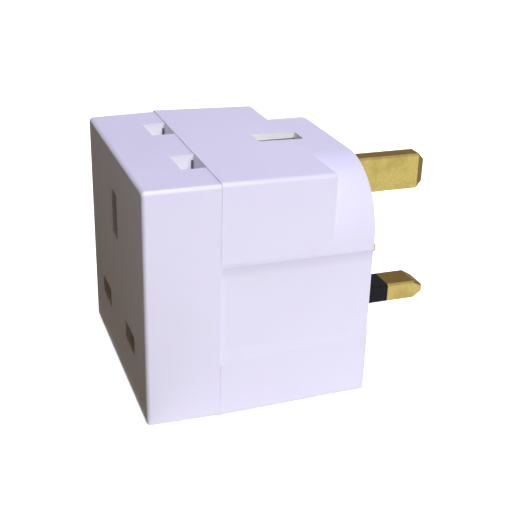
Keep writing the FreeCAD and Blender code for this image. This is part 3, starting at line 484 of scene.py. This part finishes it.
def make_springs(steel):
    """The two springs as pieces of their own on the casing, in place of the imported ones, which are
    hidden.
    """
    for name, axis in (("front", (0, 0, 1)), ("top", (0, 1, 0))):
        node = frame["nodes"][f"{name}_spring"]
        mesh = node.data.copy()
        mesh.materials.clear()
        mesh.materials.append(steel)
        coil = bpy.data.objects.new(f"{name}_coil", mesh)
        bpy.context.scene.collection.objects.link(coil)
        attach(coil, "casing")
        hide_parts(f"{name}_spring")
        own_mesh(coil)


def seen_straight(tree):
    """1 for rays from the camera and for those that polished or clear things send on."""
    paths = add_node(tree, "ShaderNodeLightPath").outputs
    total = paths["Is Camera Ray"]
    for name in ("Is Glossy Ray", "Is Transmission Ray"):
        total = reckon(tree, "MAXIMUM", total, paths[name])
    return total


def bare_material(name):
    """A material whose tree holds only its output."""
    material = bpy.data.materials.new(name)
    material.use_nodes = True
    tree = material.node_tree
    tree.nodes.remove(tree.nodes["Principled BSDF"])
    return material, tree, tree.nodes["Material Output"].inputs["Surface"]


def make_floor():
    """A pale floor that shows as white but keeps a soft shadow, and is plain white farther off."""
    bpy.ops.mesh.primitive_plane_add(size=FLOOR_SIZE)
    floor = bpy.context.object
    floor.name = "floor"
    material, tree, surface = bare_material("pale_floor")
    place = add_node(tree, "ShaderNodeTexCoord").outputs["Object"]
    clouds = remap(tree, noise(tree, place, *FLOOR_CLOUDS), *MIDDLE, 0.0, 1.0)
    matt = add_node(tree, "ShaderNodeBsdfDiffuse",
                    {"Color": mix(tree, clouds, FLOOR_COLOUR, FLOOR_SHADE)})
    away = add_node(tree, "ShaderNodeVectorMath", {0: place}, operation="LENGTH").outputs["Value"]
    level = remap(tree, away, FLOOR_NEAR, FLOOR_FAR, FLOOR_GLOW, 1.0)
    glow = add_node(tree, "ShaderNodeEmission",
                    {"Color": opaque(WHITE), "Strength": product(tree, seen_straight(tree), level)})
    both = add_node(tree, "ShaderNodeAddShader",
                    {0: matt.outputs["BSDF"], 1: glow.outputs["Emission"]})
    tree.links.new(both.outputs["Shader"], surface)
    floor.data.materials.append(material)
    floor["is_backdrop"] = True


def make_world():
    """White wherever it is seen straight, and a dim warm light otherwise."""
    world = bpy.data.worlds.new("studio")
    bpy.context.scene.world = world
    world.use_nodes = True
    tree = world.node_tree
    colour = mix(tree, seen_straight(tree), AMBIENT, WHITE)
    tree.links.new(colour, tree.nodes["Background"].inputs["Color"])


def make_lamp(name, way, far, size, power, colour=WHITE):
    """A square soft box that faces the middle of the object."""
    low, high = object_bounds()
    middle = (Vector(low) + Vector(high)) / 2
    lamp = bpy.data.lights.new(name, "AREA")
    lamp.size = size
    lamp.energy = power
    lamp.color = colour
    item = bpy.data.objects.new(name, lamp)
    item.location = middle + Vector(way).normalized() * far
    item.rotation_euler = Vector(way).to_track_quat("Z", "Y").to_euler()
    bpy.context.scene.collection.objects.link(item)
    return item


def make_card(name, corners, colour, hidden):
    """A dim card that the object sees, while the kinds of ray in hidden pass it by."""
    first, second, third = (Vector(corner) for corner in corners)
    mesh = bpy.data.meshes.new(name)
    mesh.from_pydata([first, second, second + third - first, third], [], [(0, 1, 2, 3)])
    card = bpy.data.objects.new(name, mesh)
    bpy.context.scene.collection.objects.link(card)
    for kind in ("camera", "transmission", "shadow", "volume_scatter", *hidden):
        setattr(card, f"visible_{kind}", False)
    material, tree, surface = bare_material(name)
    glow = add_node(tree, "ShaderNodeEmission", {"Color": opaque(colour)})
    tree.links.new(glow.outputs["Emission"], surface)
    mesh.materials.append(material)
    card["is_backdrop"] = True


def make_camera():
    """The photograph's view: looking along -X and a little +Y, from above."""
    camera = bpy.data.cameras.new("camera")
    camera.sensor_width = SENSOR_WIDTH
    camera.lens = FOCAL_PIXELS / IMAGE_PIXELS * SENSOR_WIDTH
    camera.clip_start = CLIP_START
    item = bpy.data.objects.new("camera", camera)
    turn = math.radians(CAMERA_AZIMUTH)
    drop = math.radians(CAMERA_ELEVATION)
    ahead = Vector((-math.sin(turn) * math.cos(drop), math.cos(turn) * math.cos(drop),
                    -math.sin(drop)))
    roll = Quaternion((0, 0, 1), math.radians(CAMERA_ROLL))
    item.rotation_euler = (ahead.to_track_quat("-Z", "Y") @ roll).to_euler()
    item.location = CAMERA_PLACE
    bpy.context.scene.collection.objects.link(item)
    bpy.context.scene.camera = item


made = finish_nodes()
make_springs(made["steel"])
make_floor()
make_world()
key = make_lamp("key", KEY_WAY, KEY_FAR, KEY_SIZE, KEY_POWER, KEY_COLOUR)
key.visible_glossy = False
make_lamp("overhead", TOP_WAY, TOP_FAR, TOP_SIZE, TOP_POWER, TOP_COLOUR)
back = make_lamp("back", BACK_WAY, BACK_FAR, BACK_SIZE, BACK_POWER)
back.visible_glossy = False
make_card("front_card", FRONT_CARD, FRONT_CARD_COLOUR, ())
make_card("side_card", SIDE_CARD, SIDE_CARD_COLOUR, ("diffuse",))
make_camera()
bpy.context.scene.view_settings.view_transform = "Standard"
